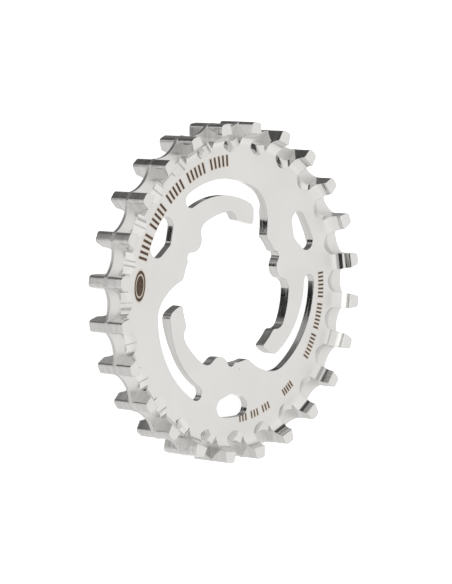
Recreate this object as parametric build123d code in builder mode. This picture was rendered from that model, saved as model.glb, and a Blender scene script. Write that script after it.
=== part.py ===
from build123d import *
import os
from math import cos, hypot, pi, radians, sin, tan

# One-piece belt sprocket for the rear hub of a bicycle, milled from stainless steel.
# It lies on the back ends of its teeth: Z is the axle line and the plain front face looks up.
# Lengths are in millimetres and angles in degrees.

# Belt and teeth
tooth_count = 24
belt_pitch = 11.0
pitch_line_above_tips = 1.0
tooth_height = 4.7
tooth_length = 11.0
tooth_tip_width = 2.74
flank_angle = 8.5
tip_corner_radius = 0.9
root_corner_radius = 2.0

# Centre flange that guides the belt, scalloped between the teeth
flange_thickness = 0.95
scallop_depth = 1.5
scallop_radius = 7.8

# Rim under the teeth, with a curved shoulder at both ends of every tooth
rim_thickness = 3.8
shoulder_edge_to_tip = 2.85
shoulder_reach = 3.85
shoulder_edge_break = 0.25
rim_width = 4.8

# Sloping relief that lets grit out of each tooth gap, its section taken square to its slope
relief_width = 5.56
relief_crown = 0.835
relief_corner_radius = 0.75
relief_reach = 2.8

# Plate inside the rim, with a thicker ring round the hub hole on its back
web_thickness = 2.0
ring_thickness = 2.75
ring_width = 4.8
ring_slope_width = 1.3

# Hub seat: three lugs, notches and bays between three spring arms
arm_count = 3
seat_radius = 17.24
bay_mid_radius = 16.98
bay_width = 5.08
bay_angle = -126.85
bay_half_sweep = 12.55
lug_centre_radius = 18.99
lug_angle = -97.6
notch_centre_radius = 16.8
notch_angle = -85.7
bay_fillet = 1.37
heel_fillet = 1.46
arm_tip_fillet = 0.55

# Spring arms, freed from the plate by curved slots that open into the hub hole
arm_root_width = 7.62
slot_root_width = 3.62
slot_end_angle = 8.5
heel_angle = -66.5
arm_tip_angle = -46.0
slot_start_heading = -83.3
slot_wall_offset = 4.67
slot_wall_sweep = 57.6
slot_corner_radius = 6.94
slot_corner_sweep = 41.9
slot_mouth_radius = 14.29
slot_mouth_sweep = 42.0
arm_start_heading = -86.6
arm_wall_offset = 3.72
arm_wall_sweep = 53.35
arm_corner_radius = 2.27
arm_corner_sweep = 59.6
arm_end_radius = 10.89
arm_end_sweep = 30.5

# Lightening holes between the arms
hole_angle = 35.75
hole_half_sweep = 5.95
hole_outer_wall = 1.16
hole_width = 4.68
hole_apex_shift = 1.16

# Worked out from the sizes above
pitch_radius = tooth_count * belt_pitch / (2 * pi)
tip_radius = pitch_radius - pitch_line_above_tips
root_radius = tip_radius - tooth_height
half_step = 180 / tooth_count
arm_step = 360 / arm_count

middle_height = tooth_length / 2
face_height = middle_height + rim_thickness / 2
rim_back_height = middle_height - rim_thickness / 2
web_back_height = face_height - web_thickness
ring_back_height = face_height - ring_thickness
flange_top = middle_height + flange_thickness / 2

shoulder_edge_radius = tip_radius - shoulder_edge_to_tip
shoulder_foot_radius = shoulder_edge_radius - shoulder_reach
rim_inner_radius = root_radius - rim_width
arm_root_radius = seat_radius + arm_root_width
slot_outer_radius = arm_root_radius + slot_root_width
ring_radius = seat_radius + ring_width
hole_mid_radius = rim_inner_radius - hole_outer_wall - hole_width / 2


def polar(radius, angle):
    """Return the point at a radius and an angle from the axle line."""
    return (radius * cos(radians(angle)), radius * sin(radians(angle)))


def gap_corner(radius, side):
    """Return the point on a tooth flank, seen from the middle line of the gap beside it."""
    half_tooth = tooth_tip_width / 2 + (tip_radius - radius) * tan(radians(flank_angle))
    along = radius * cos(radians(half_step)) + half_tooth * sin(radians(half_step))
    across = radius * sin(radians(half_step)) - half_tooth * cos(radians(half_step))
    return (along, side * across)


def corners_near(corners, angle):
    """Return the corner on the seat circle nearest an angle in each third of the hub hole."""
    found = []
    for third in range(arm_count):
        target = polar(seat_radius, angle + third * arm_step)
        found.append(corners.sort_by_distance(target)[0])
    return found


# One tooth gap: straight flanks and a floor with round corners
with BuildSketch() as tooth_gap:
    with BuildLine():
        floor_reach = gap_corner(root_radius, 1)[1]
        mouth = gap_corner(tip_radius + tooth_height, 1)
        Polyline(
            (root_radius, -floor_reach),
            (mouth[0], -mouth[1]),
            mouth,
            (root_radius, floor_reach),
            close=True,
        )
    make_face()
    floor_corners = tooth_gap.vertices().group_by(Axis.X)[0]
    fillet(floor_corners, radius=root_corner_radius)

# One shoulder: what is milled off the front end of a tooth, straight across it
with BuildPart() as shoulder:
    with BuildSketch(Plane.XZ):
        with BuildLine():
            foot = (shoulder_foot_radius, face_height)
            edge = (shoulder_edge_radius, tooth_length - shoulder_edge_break)
            TangentArc(foot, edge, tangent=(1, 0))
            Polyline(
                edge,
                (shoulder_edge_radius + shoulder_edge_break, tooth_length),
                (shoulder_edge_radius + shoulder_edge_break, tooth_length + shoulder_edge_break),
                (shoulder_foot_radius - shoulder_edge_break, tooth_length + shoulder_edge_break),
                (shoulder_foot_radius - shoulder_edge_break, face_height),
                foot,
            )
        make_face()
    extrude(amount=shoulder_edge_radius * tan(radians(half_step)), both=True)
with BuildPart() as back_shoulder:
    mirror(shoulder.part, about=Plane.XY.offset(middle_height))

# One sloping relief: a round-bottomed cut that leans in from the flange towards the front
relief_rise = face_height - flange_top
relief_plane = Plane(
    origin=(root_radius, 0, flange_top),
    x_dir=(0, -1, 0),
    z_dir=(-relief_reach, 0, relief_rise),
)
with BuildPart() as relief:
    with BuildSketch(relief_plane) as relief_section:
        with BuildLine():
            ThreePointArc(
                (-relief_width / 2, relief_crown),
                (0, 0),
                (relief_width / 2, relief_crown),
            )
            Polyline(
                (relief_width / 2, relief_crown),
                (relief_width / 2, tooth_length),
                (-relief_width / 2, tooth_length),
                (-relief_width / 2, relief_crown),
            )
        make_face()
        floor_ends = relief_section.vertices().group_by(Axis.Y)[0]
        fillet(floor_ends, radius=relief_corner_radius)
    extrude(amount=tooth_length * relief_reach / relief_rise, both=True)
with BuildPart() as back_relief:
    mirror(relief.part, about=Plane.XY.offset(middle_height))

# One third of the hub hole beyond the seat circle: a bay, a notch and a slot
with BuildSketch() as hub_third:
    bay_end = polar(bay_mid_radius, bay_angle + bay_half_sweep)
    lug_centre = polar(lug_centre_radius, lug_angle)
    notch_centre = polar(notch_centre_radius, notch_angle)
    lug_radius = hypot(lug_centre[0] - bay_end[0], lug_centre[1] - bay_end[1]) - bay_width / 2
    notch_radius = (
        hypot(lug_centre[0] - notch_centre[0], lug_centre[1] - notch_centre[1]) - lug_radius
    )
    SlotArc(
        CenterArc((0, 0), bay_mid_radius, bay_angle - bay_half_sweep, 2 * bay_half_sweep),
        bay_width,
    )
    with Locations(notch_centre):
        Circle(notch_radius)
    # The lug's sides run smoothly into the bay and the notch
    with BuildLine():
        Polyline((0, 0), bay_end, lug_centre, notch_centre, close=True)
    make_face()
    with Locations(lug_centre):
        Circle(lug_radius, mode=Mode.SUBTRACT)
    # The slot behind the arm, from its round end to the hub hole
    with BuildLine():
        slot_wall = JernArc(
            polar(slot_outer_radius, slot_end_angle),
            polar(1, slot_start_heading),
            slot_outer_radius - slot_wall_offset,
            -slot_wall_sweep,
        )
        slot_corner = JernArc(slot_wall @ 1, slot_wall % 1, slot_corner_radius, -slot_corner_sweep)
        slot_mouth = JernArc(slot_corner @ 1, slot_corner % 1, slot_mouth_radius, -slot_mouth_sweep)
        arm_wall = JernArc(
            polar(arm_root_radius, slot_end_angle),
            polar(1, arm_start_heading),
            arm_root_radius - arm_wall_offset,
            -arm_wall_sweep,
        )
        arm_corner = JernArc(arm_wall @ 1, arm_wall % 1, arm_corner_radius, -arm_corner_sweep)
        arm_end = JernArc(arm_corner @ 1, arm_corner % 1, arm_end_radius, -arm_end_sweep)
        Line(slot_mouth @ 1, arm_end @ 1)
        TangentArc(slot_wall @ 0, arm_wall @ 0, tangent=(slot_wall % 0) * -1)
    make_face()

# The whole hub hole, with its corners rounded
with BuildSketch() as hub_hole:
    Circle(seat_radius)
    with PolarLocations(0, arm_count):
        add(hub_third.sketch)
        with Locations(lug_centre):
            Circle(lug_radius, mode=Mode.SUBTRACT)
    fillet(corners_near(hub_hole.vertices(), bay_angle - 2 * bay_half_sweep), radius=bay_fillet)
    fillet(corners_near(hub_hole.vertices(), heel_angle), radius=heel_fillet)
    fillet(corners_near(hub_hole.vertices(), arm_tip_angle), radius=arm_tip_fillet)

# One lightening hole: a curved slot with a blunt point towards the hub
with BuildSketch() as lightening_hole:
    with Locations(
        polar(hole_mid_radius, -hole_half_sweep),
        (hole_mid_radius - hole_apex_shift, 0),
        polar(hole_mid_radius, hole_half_sweep),
    ):
        Circle(hole_width / 2)
    make_hull()
    SlotArc(
        CenterArc((0, 0), hole_mid_radius, -hole_half_sweep, 2 * hole_half_sweep),
        hole_width,
    )

# Toothed outline, with round tip corners
with BuildSketch() as outline:
    Circle(tip_radius)
    with PolarLocations(0, tooth_count, start_angle=half_step):
        add(tooth_gap.sketch, mode=Mode.SUBTRACT)
    tip_corners = outline.vertices().filter_by(
        lambda corner: hypot(corner.X, corner.Y) > tip_radius - tip_corner_radius
    )
    fillet(tip_corners, radius=tip_corner_radius)

with BuildPart() as sprocket:
    # Toothed ring, as long as the teeth
    with BuildSketch():
        add(outline.sketch)
        Circle(shoulder_foot_radius, mode=Mode.SUBTRACT)
    extrude(amount=tooth_length)
    with PolarLocations(0, tooth_count):
        add(shoulder.part, mode=Mode.SUBTRACT)
        add(back_shoulder.part, mode=Mode.SUBTRACT)
    # Turned section inside it: rim, web and the thicker ring round the hub hole
    with BuildSketch(Plane.XZ):
        with BuildLine():
            Polyline(
                (0, face_height),
                (shoulder_foot_radius, face_height),
                (shoulder_foot_radius, rim_back_height),
                (rim_inner_radius, rim_back_height),
                (rim_inner_radius, web_back_height),
                (ring_radius + ring_slope_width, web_back_height),
                (ring_radius, ring_back_height),
                (0, ring_back_height),
                close=True,
            )
        make_face()
    revolve(axis=Axis.Z)
    # Sloping reliefs in front of the flange and behind it
    with PolarLocations(0, tooth_count, start_angle=half_step):
        add(relief.part, mode=Mode.SUBTRACT)
        add(back_relief.part, mode=Mode.SUBTRACT)
    # Centre flange, its edge scalloped between the teeth
    with BuildSketch(Plane.XY.offset(middle_height)):
        Circle(tip_radius)
        Circle(shoulder_foot_radius, mode=Mode.SUBTRACT)
        with PolarLocations(
            tip_radius - scallop_depth + scallop_radius, tooth_count, start_angle=half_step
        ):
            Circle(scallop_radius, mode=Mode.SUBTRACT)
    extrude(amount=flange_thickness / 2, both=True)
    # Hub hole and lightening holes
    with BuildSketch(Plane.XY.offset(ring_back_height)):
        add(hub_hole.sketch)
        with PolarLocations(0, arm_count, start_angle=hole_angle):
            add(lightening_hole.sketch)
    extrude(amount=ring_thickness, mode=Mode.SUBTRACT)

sprocket.part.label = "sprocket"
os.makedirs("parts", exist_ok=True)
export_step(sprocket.part, "parts/sprocket.step")
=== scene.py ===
"""Dress the belt drive sprocket: machined steel, etched marks, a pale studio and the camera.

Lengths in the dataclasses are millimetres in the sprocket's own frame: it lies on the back
ends of its teeth with Z as the axle line and the front face up. Blender works in metres.
Angles are degrees, and azimuths are counted from +X towards +Y.

Polished steel shows its surroundings, so the studio gives it most of its look. The world
holds soft panels at set azimuths and elevations. Level cloths lie below the floor, where only
the mirror images in the sprocket's upright walls reach them.
"""
import logging
import math
from dataclasses import dataclass, field
from enum import Enum
from typing import Dict, List, Tuple, Union

import bpy
from mathutils import Matrix, Vector

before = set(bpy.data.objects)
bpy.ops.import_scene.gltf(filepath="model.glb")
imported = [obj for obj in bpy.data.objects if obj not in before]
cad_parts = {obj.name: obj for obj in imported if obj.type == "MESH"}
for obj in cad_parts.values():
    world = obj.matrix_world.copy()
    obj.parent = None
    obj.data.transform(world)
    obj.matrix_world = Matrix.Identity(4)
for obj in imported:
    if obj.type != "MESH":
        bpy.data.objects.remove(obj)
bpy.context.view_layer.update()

LOG = logging.getLogger("sprocket")
MM = 0.001
HALF_TURN = 180.0
NOISE_ROUGHNESS = 0.55
Colour = Tuple[float, float, float, float]
Span = Tuple[float, float]
Point = Tuple[float, float]
WHITE: Colour = (1.0, 1.0, 1.0, 1.0)
Socket = bpy.types.NodeSocket
Value = Union[float, Tuple[float, ...], Socket]


class SocketKind(Enum):
    """The kinds of socket that a node group has."""

    NUMBER = "NodeSocketFloat"
    VECTOR = "NodeSocketVector"


@dataclass(frozen=True)
class Ripple:
    """One noise: its ripples per unit of length along X, Y and Z, and its octaves."""

    stretch: Tuple[float, float, float]
    octaves: float


@dataclass(frozen=True)
class Wiring:
    """Places nodes in one tree and joins them."""

    tree: bpy.types.NodeTree

    def node(self, kind: str, **settings: object) -> bpy.types.Node:
        """Place a node.

        Args:
            kind: Blender's name of the node.
            settings: Properties of the node by name.

        Returns:
            The new node.
        """
        made = self.tree.nodes.new(kind)
        for name, value in settings.items():
            setattr(made, name, value)
        return made

    def feed(self, socket: Socket, value: Value) -> None:
        """Join a socket to another one, or set its own value.

        Args:
            socket: The input to feed.
            value: A socket to link, or a number, vector or colour.
        """
        if isinstance(value, bpy.types.NodeSocket):
            self.tree.links.new(value, socket)
        else:
            socket.default_value = value

    def maths(self, operation: str, *values: Value) -> Socket:
        """Return the result of a Math node.

        Args:
            operation: The node's operation.
            values: Its inputs in order.

        Returns:
            The output socket.
        """
        made = self.node("ShaderNodeMath", operation=operation)
        for socket, value in zip(made.inputs, values):
            self.feed(socket, value)
        return made.outputs[0]

    def step(self, value: Value, low: Value, high: Value, bottom: Value = 0.0,
             top: Value = 1.0) -> Socket:
        """Return a smooth step from bottom to top while value runs from low to high.

        Args:
            value: The number that runs.
            low: Where the step starts.
            high: Where it ends.
            bottom: The result before the step.
            top: The result after it.

        Returns:
            The output socket.
        """
        made = self.node("ShaderNodeMapRange", interpolation_type="SMOOTHSTEP")
        for name, given in (("Value", value), ("From Min", low), ("From Max", high),
                            ("To Min", bottom), ("To Max", top)):
            self.feed(made.inputs[name], given)
        return made.outputs[0]

    def fade(self, value: Value, low: Value, high: Value) -> Socket:
        """Return 1 up to low and 0 from high, with a smooth step between."""
        return self.step(value, low, high, 1.0, 0.0)

    def between(self, share: Value, first: Value, second: Value) -> Socket:
        """Return a number that goes from first to second as share goes from 0 to 1."""
        made = self.node("ShaderNodeMix", data_type="FLOAT")
        for name, given in (("Factor", share), ("A", first), ("B", second)):
            self.feed(made.inputs[name], given)
        return made.outputs[0]

    def tint(self, share: Value, first: Value, second: Value) -> Socket:
        """Return a colour that goes from first to second as share goes from 0 to 1."""
        made = self.node("ShaderNodeMix", data_type="RGBA")
        inputs = {socket.identifier: socket for socket in made.inputs}
        self.feed(made.inputs["Factor"], share)
        self.feed(inputs["A_Color"], first)
        self.feed(inputs["B_Color"], second)
        return {socket.identifier: socket for socket in made.outputs}["Result_Color"]

    def split(self, vector: Value) -> Tuple[Socket, Socket, Socket]:
        """Return the X, Y and Z of a vector."""
        parts = self.node("ShaderNodeSeparateXYZ")
        self.feed(parts.inputs[0], vector)
        return tuple(parts.outputs)

    def bearing(self, x: Value, y: Value) -> Socket:
        """Return the angle in degrees from +X towards +Y."""
        return self.maths("DEGREES", self.maths("ARCTAN2", y, x))

    def reach(self, x: Value, y: Value) -> Socket:
        """Return the square root of the two squares added."""
        squares = [self.maths("POWER", side, 2.0) for side in (x, y)]
        return self.maths("SQRT", self.maths("ADD", *squares))

    def off_centre(self, value: Value, middle: Value) -> Socket:
        """Return how far a number is from the middle, on either side."""
        return self.maths("ABSOLUTE", self.maths("SUBTRACT", value, middle))

    def turned(self, angle: Value, middle: Value) -> Socket:
        """Return the turn from the middle angle, from half a turn back to half a turn on."""
        return self.maths("WRAP", self.maths("SUBTRACT", angle, middle), HALF_TURN, -HALF_TURN)

    def noise(self, place: Value, ripple: Ripple) -> Socket:
        """Return noise from 0 to 1 around a half.

        Args:
            place: The point.
            ripple: How close its ripples are, and how fine.

        Returns:
            The output socket.
        """
        scaled = self.node("ShaderNodeVectorMath", operation="MULTIPLY")
        self.feed(scaled.inputs[0], place)
        self.feed(scaled.inputs[1], ripple.stretch)
        made = self.node("ShaderNodeTexNoise", noise_dimensions="3D")
        self.feed(made.inputs["Vector"], scaled.outputs[0])
        made.inputs["Scale"].default_value = 1.0
        made.inputs["Detail"].default_value = ripple.octaves
        made.inputs["Roughness"].default_value = NOISE_ROUGHNESS
        return made.outputs[0]

    def place(self, group: bpy.types.NodeTree, **given: Value) -> bpy.types.Node:
        """Place a node group and feed its inputs.

        Args:
            group: The group's tree.
            given: Values by input name, with an underscore for each space.

        Returns:
            The group node.
        """
        made = self.node("ShaderNodeGroup", node_tree=group)
        for name, value in given.items():
            self.feed(made.inputs[name.replace("_", " ")], value)
        return made


class Effect:
    """A shader node group that is built once and placed with its own values."""

    title = "effect"
    takes: Dict[str, SocketKind] = {}
    gives: Dict[str, SocketKind] = {}

    def build(self) -> bpy.types.NodeTree:
        """Make the group's sockets and nodes.

        Returns:
            The group's tree.
        """
        tree = bpy.data.node_groups.new(self.title, "ShaderNodeTree")
        for names, way in ((self.takes, "INPUT"), (self.gives, "OUTPUT")):
            for name, kind in names.items():
                tree.interface.new_socket(name=name, in_out=way, socket_type=kind.value)
        wiring = Wiring(tree)
        inner = wiring.node("NodeGroupInput")
        outer = wiring.node("NodeGroupOutput")
        made = self.fill(wiring, {socket.name: socket for socket in inner.outputs[:-1]})
        for name, socket in made.items():
            wiring.feed(outer.inputs[name], socket)
        return tree

    def fill(self, wiring: Wiring, given: Dict[str, Socket]) -> Dict[str, Socket]:
        """Place the group's nodes and return its outputs by name."""
        raise NotImplementedError


class SoftCard(Effect):
    """A soft-edged rectangle of azimuth and elevation, laid over what is behind it."""

    title = "soft_card"
    takes = {name: SocketKind.NUMBER for name in (
        "Azimuth", "Elevation", "Under", "Middle Azimuth", "Middle Elevation",
        "Half Width", "Half Height", "Softness", "Brightness")}
    gives = {"Brightness": SocketKind.NUMBER}

    def fill(self, wiring: Wiring, given: Dict[str, Socket]) -> Dict[str, Socket]:
        """Return the brightness with the card in front of what was there."""
        aside = wiring.turned(given["Azimuth"], given["Middle Azimuth"])
        aside = wiring.maths("ABSOLUTE", aside)
        above = wiring.off_centre(given["Elevation"], given["Middle Elevation"])
        masks = []
        for gap, half in ((aside, given["Half Width"]), (above, given["Half Height"])):
            inside = wiring.maths("SUBTRACT", half, given["Softness"])
            outside = wiring.maths("ADD", half, given["Softness"])
            masks.append(wiring.fade(gap, inside, outside))
        mask = wiring.maths("MULTIPLY", *masks)
        return {"Brightness": wiring.between(mask, given["Under"], given["Brightness"])}


@dataclass(frozen=True)
class Card:
    """One panel of the studio as the steel sees it: where it stands and how bright it is."""

    azimuth: float
    elevation: float
    half_width: float
    half_height: float
    softness: float
    brightness: float


@dataclass(frozen=True)
class Matte:
    """A dull finish with a white glow, for what only stands round the sprocket."""

    name: str
    colour: Colour
    roughness: float
    glow: float

    def build(self) -> bpy.types.Material:
        """Make the finish.

        Returns:
            The material, whose one shader is its Principled BSDF.
        """
        material = bpy.data.materials.new(self.name)
        material.use_nodes = True
        shader = material.node_tree.nodes["Principled BSDF"]
        shader.inputs["Base Color"].default_value = self.colour
        shader.inputs["Roughness"].default_value = self.roughness
        shader.inputs["Specular IOR Level"].default_value = 0.0
        shader.inputs["Emission Color"].default_value = WHITE
        shader.inputs["Emission Strength"].default_value = self.glow
        return material


@dataclass(frozen=True)
class LevelSheet:
    """A flat level sheet of the studio, by its height and its corners."""

    height: float
    corners: Tuple[Point, ...]

    def build(self, name: str, material: bpy.types.Material) -> bpy.types.Object:
        """Make the sheet as one face.

        Args:
            name: The object's name.
            material: Its finish.

        Returns:
            The object, linked to the scene.
        """
        mesh = bpy.data.meshes.new(name)
        corners = [(x * MM, y * MM, self.height * MM) for x, y in self.corners]
        mesh.from_pydata(corners, [], [tuple(range(len(corners)))])
        mesh.materials.append(material)
        sheet = bpy.data.objects.new(name, mesh)
        bpy.context.scene.collection.objects.link(sheet)
        return sheet


@dataclass(frozen=True)
class Cloth:
    """A cloth under the floor: how bright it is, and its corners."""

    glow: float
    corners: Tuple[Point, ...]


@dataclass(frozen=True)
class Studio:
    """A pale floor, soft light all round, and the dark and bright shapes that steel mirrors."""

    floor_size: float = 6000.0
    floor_colour: Colour = (0.80, 0.80, 0.80, 1.0)
    floor_roughness: float = 0.9
    floor_glow: float = 0.76
    backdrop: Colour = (0.96, 0.96, 0.96, 1.0)
    light_colour: Colour = (1.0, 0.994, 0.985, 1.0)
    open_light: float = 1.02
    cards: Tuple[Card, ...] = (
        # Below the horizon: one pale side, and one dark side with a grey strip.
        Card(-100.0, -52.0, 72.0, 46.0, 6.0, 0.80),
        Card(100.0, -55.0, 82.0, 48.0, 6.0, 0.17),
        Card(85.0, -62.0, 45.0, 7.0, 4.0, 0.46),
        # The pale panel where the two sides meet, with a dark strip and a bright one.
        Card(172.0, -46.0, 20.0, 42.0, 5.0, 0.78),
        Card(176.0, -62.0, 14.0, 7.0, 3.0, 0.22),
        Card(176.0, -30.0, 14.0, 6.0, 4.0, 1.00),
        # Soft greys on the far side.
        Card(20.0, -45.0, 26.0, 34.0, 12.0, 0.42),
        Card(0.0, -14.0, 75.0, 16.0, 14.0, 0.60),
        # The dark screen at the horizon that the teeth's shoulders mirror.
        Card(102.0, -8.0, 31.0, 32.0, 4.0, 0.08),
        Card(102.0, -22.0, 31.0, 18.0, 5.0, 0.06),
        # Two grey strips overhead.
        Card(118.0, 58.0, 8.0, 24.0, 4.0, 0.50),
        Card(-140.0, 62.0, 8.0, 18.0, 4.0, 0.50),
        # Two lamps and two black screens on the camera's side.
        Card(166.0, 6.0, 15.0, 22.0, 5.0, 1.40),
        Card(179.0, 26.0, 9.0, 14.0, 2.0, 1.50),
        Card(-155.0, -4.0, 12.0, 14.0, 2.5, 0.03),
        Card(-155.0, 40.0, 12.0, 14.0, 2.5, 0.03),
    )
    # Clutter shows on panels that are neither black nor bright.
    clutter: float = 0.16
    clutter_ripple: Ripple = Ripple((9.0, 9.0, 14.0), 3.0)
    clutter_range: Span = (0.5, 0.72)
    clutter_start: Span = (0.02, 0.06)
    clutter_end: Span = (0.05, 0.3)
    cloth_height: float = -93.0
    cloth_colour: Colour = (0.01, 0.01, 0.01, 1.0)
    cloth_roughness: float = 1.0
    cloths: Tuple[Cloth, ...] = (
        # Black in the walls of the hub hole and the slots.
        Cloth(0.00, ((-101.0, -11.0), (-68.0, -16.0), (-63.0, 48.0), (-80.0, 50.0),
                     (-88.0, 26.0), (-98.0, 10.0))),
        # Black in the ends of the openings on the left.
        Cloth(0.00, ((-126.0, -12.0), (-117.0, -12.0), (-117.0, 24.0), (-113.0, 30.0),
                     (-113.0, 48.0), (-126.0, 48.0))),
        Cloth(0.02, ((-92.0, 88.0), (-62.0, 88.0), (-62.0, 98.0), (-92.0, 98.0))),
        # Dark in the flanks of the teeth at the upper right and the tips at the upper left.
        Cloth(0.08, ((-70.0, 112.0), (20.0, 118.0), (20.0, 160.0), (-70.0, 140.0))),
        # Dark in the tips of the top teeth.
        Cloth(0.07, ((66.0, 80.0), (98.0, 28.0), (125.0, 40.0), (90.0, 105.0),
                     (70.0, 100.0))),
        # Greys in the flanks of the teeth at the lower left.
        Cloth(0.38, ((-74.0, 52.0), (4.0, 60.0), (4.0, 84.0), (-74.0, 84.0))),
        Cloth(0.25, ((-109.0, -16.0), (-103.0, -16.0), (-103.0, -32.0), (-109.0, -32.0))),
        Cloth(0.27, ((-110.0, 14.0), (-98.0, 14.0), (-90.0, 26.0), (-84.0, 46.0),
                     (-110.0, 46.0))),
    )

    def build(self) -> None:
        """Make the floor, the cloths and the world."""
        self.build_floor()
        self.build_cloths()
        self.build_world()
        bpy.context.scene.view_settings.view_transform = "Standard"

    def build_floor(self) -> None:
        """Make a pale floor that the steel doesn't mirror and that is clear from below."""
        material = Matte("pale_floor", self.floor_colour, self.floor_roughness,
                         self.floor_glow).build()
        wiring = Wiring(material.node_tree)
        nodes = material.node_tree.nodes
        seen = wiring.node("ShaderNodeNewGeometry")
        clear = wiring.node("ShaderNodeBsdfTransparent")
        mix = wiring.node("ShaderNodeMixShader")
        wiring.feed(mix.inputs[0], seen.outputs["Backfacing"])
        wiring.feed(mix.inputs[1], nodes["Principled BSDF"].outputs[0])
        wiring.feed(mix.inputs[2], clear.outputs[0])
        wiring.feed(nodes["Material Output"].inputs["Surface"], mix.outputs[0])
        half = self.floor_size / 2
        corners = ((-half, -half), (half, -half), (half, half), (-half, half))
        floor = LevelSheet(0.0, corners).build("floor", material)
        floor.visible_glossy = False

    def build_cloths(self) -> None:
        """Make the cloths under the floor, which show only in the steel."""
        for number, cloth in enumerate(self.cloths):
            material = Matte(f"cloth_{number}", self.cloth_colour, self.cloth_roughness,
                             cloth.glow).build()
            sheet = LevelSheet(self.cloth_height, cloth.corners)
            laid = sheet.build(f"flag_{number}", material)
            laid.visible_camera = False
            laid.visible_diffuse = False
            laid.visible_shadow = False

    def build_world(self) -> None:
        """Make the world: plain and pale to the camera, and the panels to everything else."""
        world = bpy.data.worlds.new("studio")
        world.use_nodes = True
        bpy.context.scene.world = world
        wiring = Wiring(world.node_tree)
        nodes = world.node_tree.nodes
        light = nodes["Background"]
        light.inputs["Color"].default_value = self.light_colour
        wiring.feed(light.inputs["Strength"], self.brightness(wiring))
        plain = wiring.node("ShaderNodeBackground")
        plain.inputs["Color"].default_value = self.backdrop
        path = wiring.node("ShaderNodeLightPath")
        mix = wiring.node("ShaderNodeMixShader")
        wiring.feed(mix.inputs[0], path.outputs["Is Camera Ray"])
        wiring.feed(mix.inputs[1], light.outputs[0])
        wiring.feed(mix.inputs[2], plain.outputs[0])
        wiring.feed(nodes["World Output"].inputs["Surface"], mix.outputs[0])

    def brightness(self, wiring: Wiring) -> Socket:
        """Lay the cards over the open light, later ones in front, and add the clutter.

        Args:
            wiring: The world's nodes.

        Returns:
            The brightness in each direction.
        """
        toward = wiring.node("ShaderNodeTexCoord").outputs["Generated"]
        x, y, z = wiring.split(toward)
        azimuth = wiring.bearing(x, y)
        elevation = wiring.maths("DEGREES", wiring.maths("ARCSINE", z))
        card = SoftCard().build()
        bright: Value = self.open_light
        for panel in self.cards:
            bright = wiring.place(
                card, Azimuth=azimuth, Elevation=elevation, Under=bright,
                Middle_Azimuth=panel.azimuth, Middle_Elevation=panel.elevation,
                Half_Width=panel.half_width, Half_Height=panel.half_height,
                Softness=panel.softness, Brightness=panel.brightness,
            ).outputs[0]
        return wiring.maths("ADD", bright, self.faint_clutter(wiring, toward, bright))

    def faint_clutter(self, wiring: Wiring, toward: Socket, bright: Socket) -> Socket:
        """Put faint blotches on the dark panels, but not on the black ones.

        Args:
            wiring: The world's nodes.
            toward: The direction.
            bright: How bright the panels are there.

        Returns:
            The brightness to add.
        """
        blotches = wiring.noise(toward, self.clutter_ripple)
        blotches = wiring.step(blotches, *self.clutter_range, 0.0, self.clutter)
        dark = wiring.maths("MULTIPLY", wiring.fade(bright, *self.clutter_end),
                            wiring.step(bright, *self.clutter_start))
        return wiring.maths("MULTIPLY", blotches, dark)


@dataclass(frozen=True)
class Viewpoint:
    """The camera of the photograph, held in the sprocket's frame."""

    place: Tuple[float, float, float] = (-630.27, 2.58, 618.56)
    target: Tuple[float, float, float] = (-2.43, -0.16, 7.4)
    roll: float = 94.708
    lens: float = 225.07
    film_width: float = 36.0
    sight_limit: float = 20000.0

    def build(self) -> bpy.types.Object:
        """Make the camera and give it to the scene.

        Returns:
            The camera object, which looks from place to target and is rolled about its own axis.
        """
        data = bpy.data.cameras.new("camera")
        data.lens = self.lens
        data.sensor_width = self.film_width
        data.clip_end = self.sight_limit * MM
        camera = bpy.data.objects.new("camera", data)
        place = Vector(self.place) * MM
        sight = Vector(self.target) * MM - place
        turn = sight.to_track_quat("-Z", "Y").to_matrix().to_4x4()
        roll = Matrix.Rotation(math.radians(self.roll), 4, "Z")
        camera.matrix_world = Matrix.Translation(place) @ turn @ roll
        bpy.context.scene.collection.objects.link(camera)
        bpy.context.scene.camera = camera
        return camera


@dataclass(frozen=True)
class Spot:
    """A point of the steel as sockets, in millimetres and degrees, and which way it faces."""

    place: Socket
    radius: Socket
    angle: Socket
    height: Socket
    up: Socket

    @classmethod
    def read(cls, wiring: Wiring) -> "Spot":
        """Read the point from the part's own coordinates.

        Args:
            wiring: The material's nodes.

        Returns:
            The point.
        """
        at = wiring.node("ShaderNodeTexCoord")
        scale = wiring.node("ShaderNodeVectorMath", operation="SCALE")
        wiring.feed(scale.inputs[0], at.outputs["Object"])
        scale.inputs["Scale"].default_value = 1.0 / MM
        place = scale.outputs[0]
        x, y, height = wiring.split(place)
        up = wiring.split(at.outputs["Normal"])[2]
        return cls(place, wiring.reach(x, y), wiring.bearing(x, y), height, up)


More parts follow.
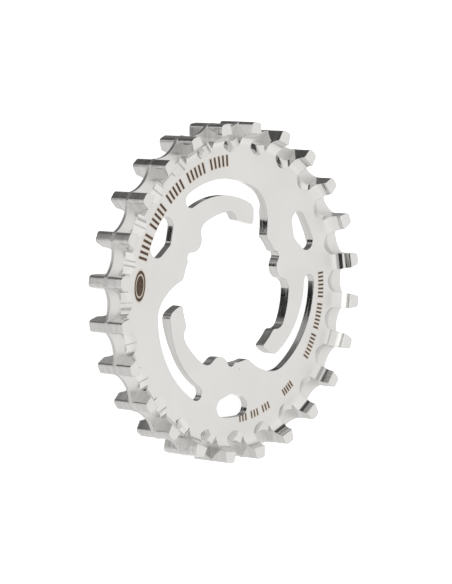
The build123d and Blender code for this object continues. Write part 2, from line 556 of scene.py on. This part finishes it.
class EtchedTicks(Effect):
    """A row of plain radial ticks on a circle, as the distance to the nearest one.

    A tick's number is the angle from the row's middle over the pitch, rounded. The distance
    is that to a rectangle: the larger of how far the point lies beside it and beyond its ends.
    One tick in each group is left out, by a millimetre that is added to its distance.
    """

    title = "etched_ticks"
    takes = {name: SocketKind.NUMBER for name in (
        "Radius", "Angle", "Middle Radius", "Middle Angle", "Pitch", "Reach", "Width",
        "Height", "Group")}
    gives = {"Distance": SocketKind.NUMBER}
    number_slack = 0.25

    def fill(self, wiring: Wiring, given: Dict[str, Socket]) -> Dict[str, Socket]:
        """Return the distance in millimetres, below nought inside a tick."""
        turn = wiring.turned(given["Angle"], given["Middle Angle"])
        number = wiring.maths("ROUND", wiring.maths("DIVIDE", turn, given["Pitch"]))
        number = wiring.maths("MINIMUM", number, given["Reach"])
        number = wiring.maths("MAXIMUM", number, wiring.maths("MULTIPLY", given["Reach"], -1.0))
        off = wiring.maths("SUBTRACT", turn, wiring.maths("MULTIPLY", number, given["Pitch"]))
        aside = wiring.maths("MULTIPLY", wiring.maths("RADIANS", off), given["Radius"])
        aside = wiring.maths("ABSOLUTE", aside)
        aside = wiring.maths("SUBTRACT", aside, wiring.maths("MULTIPLY", given["Width"], 0.5))
        along = wiring.off_centre(given["Radius"], given["Middle Radius"])
        along = wiring.maths("SUBTRACT", along, wiring.maths("MULTIPLY", given["Height"], 0.5))
        distance = wiring.maths("MAXIMUM", aside, along)
        place = wiring.maths("FLOORED_MODULO", number, given["Group"])
        middle = wiring.maths("MULTIPLY", given["Group"], 0.5)
        left_out = wiring.maths("COMPARE", place, middle, self.number_slack)
        return {"Distance": wiring.maths("ADD", distance, left_out)}


class EtchedDisc(Effect):
    """An oval disc with a thin bare ring inside it, as the distance to its filled part.

    The distance is the oval's own radius less one, times its half width: how far out the
    point lies between the middle and the rim. The ring is where that is near a set depth.
    """

    title = "etched_disc"
    takes = {name: SocketKind.NUMBER for name in (
        "Radius", "Angle", "Middle Radius", "Middle Angle", "Half Length", "Half Width")}
    gives = {"Distance": SocketKind.NUMBER}
    ring_depth = 0.48
    ring_half_width = 0.09

    def fill(self, wiring: Wiring, given: Dict[str, Socket]) -> Dict[str, Socket]:
        """Return the distance in millimetres, below nought inside the disc."""
        turn = wiring.maths("RADIANS", wiring.turned(given["Angle"], given["Middle Angle"]))
        along = wiring.maths("MULTIPLY", wiring.maths("SINE", turn), given["Radius"])
        across = wiring.maths("MULTIPLY", wiring.maths("COSINE", turn), given["Radius"])
        across = wiring.maths("SUBTRACT", across, given["Middle Radius"])
        out = wiring.reach(wiring.maths("DIVIDE", along, given["Half Length"]),
                           wiring.maths("DIVIDE", across, given["Half Width"]))
        distance = wiring.maths("MULTIPLY", wiring.maths("SUBTRACT", out, 1.0),
                                given["Half Width"])
        ring = wiring.maths("ABSOLUTE", wiring.maths("ADD", distance, self.ring_depth))
        ring = wiring.maths("SUBTRACT", self.ring_half_width, ring)
        return {"Distance": wiring.maths("MAXIMUM", distance, ring)}


class CutLines(Effect):
    """Fine lines that a cutter leaves along a wall, each at its own height above the floor."""

    title = "cut_lines"
    takes = {"Place": SocketKind.VECTOR}
    gives = {name: SocketKind.NUMBER for name in ("Height", "Shade", "Dull")}
    fine = Ripple((0.08, 0.08, 2.6), 2.0)
    broad = Ripple((0.05, 0.05, 0.75), 1.0)
    bands = Ripple((0.06, 0.06, 1.6), 2.0)
    broad_share = 0.7
    shade_range = (0.3, 0.7)
    dull_range = (0.5, 0.66)

    def fill(self, wiring: Wiring, given: Dict[str, Socket]) -> Dict[str, Socket]:
        """Return the lines' height, a slow shade over them and dull bands, all from 0 to 1."""
        fine, broad, bands = (wiring.noise(given["Place"], ripple)
                              for ripple in (self.fine, self.broad, self.bands))
        return {
            "Height": wiring.between(self.broad_share, fine, broad),
            "Shade": wiring.step(broad, *self.shade_range),
            "Dull": wiring.step(bands, *self.dull_range),
        }


class SatinGrain(Effect):
    """The fine even grain of a tumbled plate, with a few small pits."""

    title = "satin_grain"
    takes = {"Place": SocketKind.VECTOR}
    gives = {name: SocketKind.NUMBER for name in ("Height", "Cloud", "Pit")}
    grain = Ripple((3.2, 3.2, 3.2), 3.0)
    cloud = Ripple((0.09, 0.09, 0.09), 3.0)
    cloud_range = (0.3, 0.7)
    cells_per_mm = 0.22
    plain_cells = 0.9
    pit_range = (0.022, 0.04)

    def fill(self, wiring: Wiring, given: Dict[str, Socket]) -> Dict[str, Socket]:
        """Return the grain's height, a slow cloud over the plate, and the mask of the pits."""
        cells = wiring.node("ShaderNodeTexVoronoi", feature="F1")
        wiring.feed(cells.inputs["Vector"], given["Place"])
        cells.inputs["Scale"].default_value = self.cells_per_mm
        colour = wiring.node("ShaderNodeSeparateColor")
        wiring.feed(colour.inputs[0], cells.outputs["Color"])
        chosen = wiring.maths("GREATER_THAN", colour.outputs[0], self.plain_cells)
        near = wiring.fade(cells.outputs["Distance"], *self.pit_range)
        cloud = wiring.noise(given["Place"], self.cloud)
        return {
            "Height": wiring.noise(given["Place"], self.grain),
            "Cloud": wiring.step(cloud, *self.cloud_range),
            "Pit": wiring.maths("MULTIPLY", chosen, near),
        }


@dataclass(frozen=True)
class TickRow:
    """One row of etched ticks: its circle, its middle, how many each way, and each tick."""

    middle_radius: float
    middle_angle: float
    pitch: float
    reach: float
    width: float
    height: float
    group: float


@dataclass(frozen=True)
class EtchedMarks:
    """Plain marks burnt brown into the front face: rows of ticks and one oval disc."""

    rows: Tuple[TickRow, ...] = (
        TickRow(31.75, 134.5, 2.45, 14.0, 0.62, 2.7, 6.0),
        TickRow(30.95, -8.0, 1.8, 11.0, 0.44, 1.75, 8.0),
        TickRow(31.25, -46.0, 1.5, 2.0, 0.44, 1.75, 12.0),
        TickRow(30.9, -69.6, 1.9, 5.0, 0.44, 1.75, 4.0),
    )
    disc_radius: float = 31.4
    disc_angle: float = 180.6
    disc_half_length: float = 3.65
    disc_half_width: float = 1.75
    edge: float = 0.06
    halo: float = 0.42
    face_height: float = 7.4
    face_slack: float = 0.2
    least_up: float = 0.9

    def lay(self, wiring: Wiring, spot: Spot) -> Tuple[Socket, Socket]:
        """Work out where the marks are on the front face.

        Args:
            wiring: The material's nodes.
            spot: The point.

        Returns:
            The mask of the marks, and that of the warm halo round them.
        """
        ticks = EtchedTicks().build()
        nearest = wiring.place(
            EtchedDisc().build(), Radius=spot.radius, Angle=spot.angle,
            Middle_Radius=self.disc_radius, Middle_Angle=self.disc_angle,
            Half_Length=self.disc_half_length, Half_Width=self.disc_half_width,
        ).outputs[0]
        for row in self.rows:
            distance = wiring.place(
                ticks, Radius=spot.radius, Angle=spot.angle,
                Middle_Radius=row.middle_radius, Middle_Angle=row.middle_angle,
                Pitch=row.pitch, Reach=row.reach, Width=row.width, Height=row.height,
                Group=row.group,
            ).outputs[0]
            nearest = wiring.maths("MINIMUM", nearest, distance)
        level = wiring.maths("COMPARE", spot.height, self.face_height, self.face_slack)
        on_face = wiring.maths("MULTIPLY", level,
                               wiring.maths("GREATER_THAN", spot.up, self.least_up))
        mark = wiring.fade(nearest, -self.edge, self.edge)
        halo = wiring.fade(nearest, 0.0, self.halo)
        return wiring.maths("MULTIPLY", mark, on_face), wiring.maths("MULTIPLY", halo, on_face)


@dataclass(frozen=True)
class Masks:
    """The masks and patterns that share out the steel's finishes, as sockets and nodes."""

    flat: Socket
    mark: Socket
    halo: Socket
    tip: Socket
    flange: Socket
    lines: bpy.types.Node
    grain: bpy.types.Node


@dataclass(frozen=True)
class MachinedSteel:
    """Stainless steel: satin on the flat faces, bright and finely lined on the cut walls."""

    face_colour: Colour = (0.735, 0.728, 0.716, 1.0)
    cloud_colour: Colour = (0.715, 0.708, 0.695, 1.0)
    wall_colour: Colour = (0.775, 0.768, 0.755, 1.0)
    lined_colour: Colour = (0.68, 0.672, 0.66, 1.0)
    pit_colour: Colour = (0.25, 0.24, 0.23, 1.0)
    mark_colour: Colour = (0.060, 0.034, 0.018, 1.0)
    mark_light_colour: Colour = (0.115, 0.070, 0.040, 1.0)
    halo_colour: Colour = (0.60, 0.52, 0.42, 1.0)
    halo_strength: float = 0.55
    mottle: Ripple = Ripple((1.6, 1.6, 1.6), 3.0)
    mottle_range: Span = (0.4, 0.7)
    mark_metal: float = 0.15
    face_roughness: float = 0.40
    cloud_roughness: Span = (-0.02, 0.03)
    wall_roughness: float = 0.08
    tip_roughness: float = 0.16
    dull_roughness: float = 0.10
    flange_roughness: float = 0.42
    mark_roughness: float = 0.62
    flat_range: Span = (0.93, 0.99)
    tip_range: Span = (39.7, 40.5)
    flange_height: float = 5.5
    flange_range: Span = (0.5, 0.6)
    flange_radius: float = 36.5
    line_depth: float = 0.012
    tip_line_depth: float = 0.024
    grain_depth: float = 0.0012
    edge_rounding: float = 0.18
    edge_samples: int = 6
    marks: EtchedMarks = field(default_factory=EtchedMarks)

    def build(self) -> bpy.types.Material:
        """Make the steel.

        Returns:
            The material.
        """
        material = bpy.data.materials.new("machined_steel")
        material.use_nodes = True
        wiring = Wiring(material.node_tree)
        shader = material.node_tree.nodes["Principled BSDF"]
        spot = Spot.read(wiring)
        masks = self.share_out(wiring, spot)
        wiring.feed(shader.inputs["Base Color"], self.colour(wiring, spot, masks))
        wiring.feed(shader.inputs["Metallic"], wiring.between(masks.mark, 1.0, self.mark_metal))
        wiring.feed(shader.inputs["Roughness"], self.roughness(wiring, masks))
        wiring.feed(shader.inputs["Normal"], self.relief(wiring, masks))
        return material

    def share_out(self, wiring: Wiring, spot: Spot) -> Masks:
        """Work out which finish holds where.

        Args:
            wiring: The material's nodes.
            spot: The point.

        Returns:
            The masks and patterns.
        """
        mark, halo = self.marks.lay(wiring, spot)
        off = wiring.off_centre(spot.height, self.flange_height)
        beyond = wiring.maths("GREATER_THAN", spot.radius, self.flange_radius)
        return Masks(
            flat=wiring.step(wiring.maths("ABSOLUTE", spot.up), *self.flat_range),
            mark=mark,
            halo=halo,
            tip=wiring.step(spot.radius, *self.tip_range),
            flange=wiring.maths("MULTIPLY", wiring.fade(off, *self.flange_range), beyond),
            lines=wiring.place(CutLines().build(), Place=spot.place),
            grain=wiring.place(SatinGrain().build(), Place=spot.place),
        )

    def colour(self, wiring: Wiring, spot: Spot, masks: Masks) -> Socket:
        """Colour the flat faces, the walls, the pits and the marks.

        Args:
            wiring: The material's nodes.
            spot: The point.
            masks: Where each finish holds.

        Returns:
            The base colour.
        """
        face = wiring.tint(masks.grain.outputs["Cloud"], self.face_colour, self.cloud_colour)
        wall = wiring.tint(masks.lines.outputs["Shade"], self.wall_colour, self.lined_colour)
        steel = wiring.tint(masks.flat, wall, face)
        pit = wiring.maths("MULTIPLY", masks.grain.outputs["Pit"], masks.flat)
        steel = wiring.tint(pit, steel, self.pit_colour)
        halo = wiring.maths("MULTIPLY", masks.halo, self.halo_strength)
        steel = wiring.tint(halo, steel, self.halo_colour)
        mottle = wiring.step(wiring.noise(spot.place, self.mottle), *self.mottle_range)
        brown = wiring.tint(mottle, self.mark_colour, self.mark_light_colour)
        return wiring.tint(masks.mark, steel, brown)

    def roughness(self, wiring: Wiring, masks: Masks) -> Socket:
        """Make the walls bright, with dull bands, and the flange, faces and marks duller.

        Args:
            wiring: The material's nodes.
            masks: Where each finish holds.

        Returns:
            The roughness.
        """
        wall = wiring.between(masks.tip, self.wall_roughness, self.tip_roughness)
        wall = wiring.maths("MULTIPLY_ADD", masks.lines.outputs["Dull"], self.dull_roughness,
                            wall)
        wall = wiring.between(masks.flange, wall, self.flange_roughness)
        bare = wiring.between(masks.flat, wall, self.face_roughness)
        cloud = wiring.between(masks.grain.outputs["Cloud"], *self.cloud_roughness)
        bare = wiring.maths("ADD", bare, cloud)
        return wiring.between(masks.mark, bare, self.mark_roughness)

    def relief(self, wiring: Wiring, masks: Masks) -> Socket:
        """Round the edges, and raise the cutter's lines on the walls and the grain on the faces.

        Args:
            wiring: The material's nodes.
            masks: Where each finish holds.

        Returns:
            The normal.
        """
        soft_edge = wiring.node("ShaderNodeBevel", samples=self.edge_samples)
        soft_edge.inputs["Radius"].default_value = self.edge_rounding * MM
        depth = wiring.between(masks.tip, self.line_depth, self.tip_line_depth)
        lines = wiring.maths("MULTIPLY", masks.lines.outputs["Height"], depth)
        grain = wiring.maths("MULTIPLY", masks.grain.outputs["Height"], self.grain_depth)
        bump = wiring.node("ShaderNodeBump")
        bump.inputs["Distance"].default_value = MM
        wiring.feed(bump.inputs["Height"], wiring.between(masks.flat, lines, grain))
        wiring.feed(bump.inputs["Normal"], soft_edge.outputs[0])
        return bump.outputs[0]


@dataclass(frozen=True)
class Sprocket:
    """The one-piece sprocket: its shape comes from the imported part, its finish from here."""

    node: str = "sprocket"
    steel: MachinedSteel = field(default_factory=MachinedSteel)

    def dress(self) -> List[bpy.types.Object]:
        """Give the steel to every slot of the part.

        Returns:
            The pieces that show.
        """
        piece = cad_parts[self.node]
        steel = self.steel.build()
        for index in range(len(piece.data.materials)):
            piece.data.materials[index] = steel
        return [piece]


def main() -> None:
    """Build the studio, the camera and the sprocket's looks."""
    logging.basicConfig(level=logging.INFO, format="%(message)s")
    Studio().build()
    Viewpoint().build()
    for piece in Sprocket().dress():
        LOG.info("%s: %d faces", piece.name, len(piece.data.polygons))


if __name__ == "__main__":
    main()
